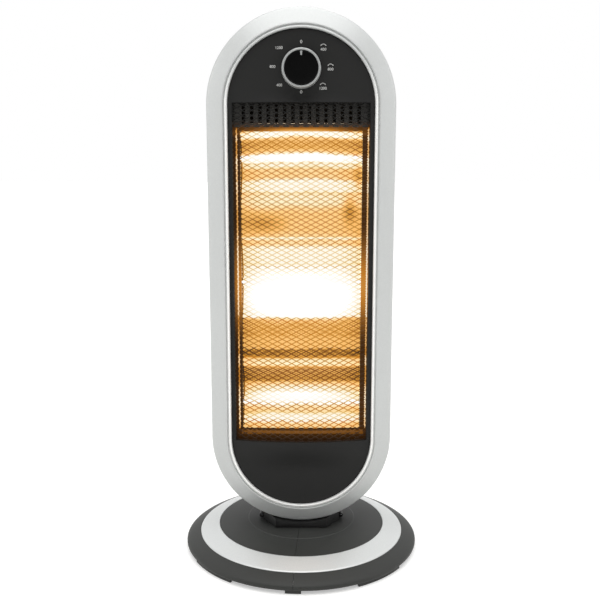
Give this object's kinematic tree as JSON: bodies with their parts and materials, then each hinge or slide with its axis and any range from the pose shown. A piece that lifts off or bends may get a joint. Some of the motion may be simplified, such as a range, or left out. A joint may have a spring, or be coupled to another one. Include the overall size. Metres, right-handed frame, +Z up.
{
  "type": "halogen heater",
  "caption": "Free-standing halogen tower heater: pill-shaped head with a bowed mesh guard, reflector and lying quartz tubes, rotary switch, swivel neck and round base.",
  "frame": {"origin": "on the floor under the centre of the round base, which is also the swivel axis", "axes": "+Z up, the head faces -Y, +X to the right seen from the front"},
  "size_m": [0.285, 0.285, 0.6409],
  "materials": {
    "silver_paint": "silver-grey painted ABS, satin gloss",
    "black_panel": "black ABS, satin",
    "dark_base": "dark grey moulded plastic, fine texture",
    "shell_plastic": "black moulded plastic, fine texture",
    "rubber": "moulded rubber",
    "guard_enamel": "black heat-proof enamel on expanded steel",
    "reflector": "polished sheet",
    "steel": "zinc-plated sheet steel",
    "quartz": "clear fused quartz",
    "filament": "glowing tungsten coil",
    "ceramic": "unglazed steatite",
    "nylon": "natural nylon",
    "brass": "turned"
  },
  "bodies": {
    "base": {"base_left_half": "dark_base", "base_right_half": "dark_base", "base_trim_ring": "silver_paint", "foot_pad_1": "rubber", "foot_pad_2": "rubber", "foot_pad_3": "rubber", "foot_pad_4": "rubber", "base_seam_screw_front": "steel", "base_seam_screw_rear": "steel", "cord_gland": "rubber", "swivel_spindle": "steel", "spindle_retainer": "steel", "yoke_plate": "steel", "yoke_lock_ring": "steel", "tip_switch_guide": "nylon", "tip_spring": "steel", "tip_microswitch": "black_panel"},
    "head": {"front_bezel": "silver_paint", "neck_screw_left": "steel", "neck_screw_right": "steel", "cap_rail_left": "steel", "cap_rail_right": "steel", "heat_shield": "steel", "motor_bracket": "steel", "oscillation_motor": "steel", "swivel_bearing_ring": "nylon", "terminal_block": "nylon", "neck": "black_panel", "front_panel": "black_panel", "rotary_switch": "black_panel", "thermal_cutout": "black_panel", "rear_shell": "shell_plastic", "guard_grille": "guard_enamel", "vent_plate": "guard_enamel", "reflector_frame": "guard_enamel", "reflector_pan": "reflector", "reflector_end_left": "reflector", "reflector_end_right": "reflector", "quartz_tube_top": "quartz", "filament_top": "filament", "tube_cap_top_left": "ceramic", "tube_cap_top_right": "ceramic", "quartz_tube_middle": "quartz", "filament_middle": "filament", "tube_cap_middle_left": "ceramic", "tube_cap_middle_right": "ceramic", "quartz_tube_bottom": "quartz", "filament_bottom": "filament", "tube_cap_bottom_left": "ceramic", "tube_cap_bottom_right": "ceramic"},
    "crank": {"crank_disc": "nylon", "crank_roller": "brass"},
    "knob": {"knob_cap": "black_panel", "knob_trim_ring": "silver_paint", "knob_pointer": "silver_paint", "switch_spindle": "brass"},
    "plunger": {"tip_plunger": "nylon"}
  },
  "joints": [
    {"name": "head_swivel", "type": "hinge", "parent": "base", "child": "head", "pos_m": [0, 0, 0.045], "axis": [0, 0, 1], "range_deg": [-37.4, 29.9]},
    {"name": "crank_turn", "type": "hinge", "parent": "head", "child": "crank", "pos_m": [0, 0.018, 0.064], "axis": [0, 0, 1], "range_deg": [-77.8, 97.3]},
    {"name": "switch_turn", "type": "hinge", "parent": "head", "child": "knob", "pos_m": [0, -0.05, 0.5734], "axis": [0, -1, 0], "continuous": true},
    {"name": "tip_plunger_slide", "type": "slide", "parent": "base", "child": "plunger", "axis": [0, 0, -1], "range_m": [0, 0.005], "stiffness_N_per_m": 60, "springref_m": 0.012, "deforming": ["tip_spring"]}
  ],
  "couplings": [
    {"joint": "crank_turn", "follows": "head_swivel", "ratio": -2.6}
  ]
}
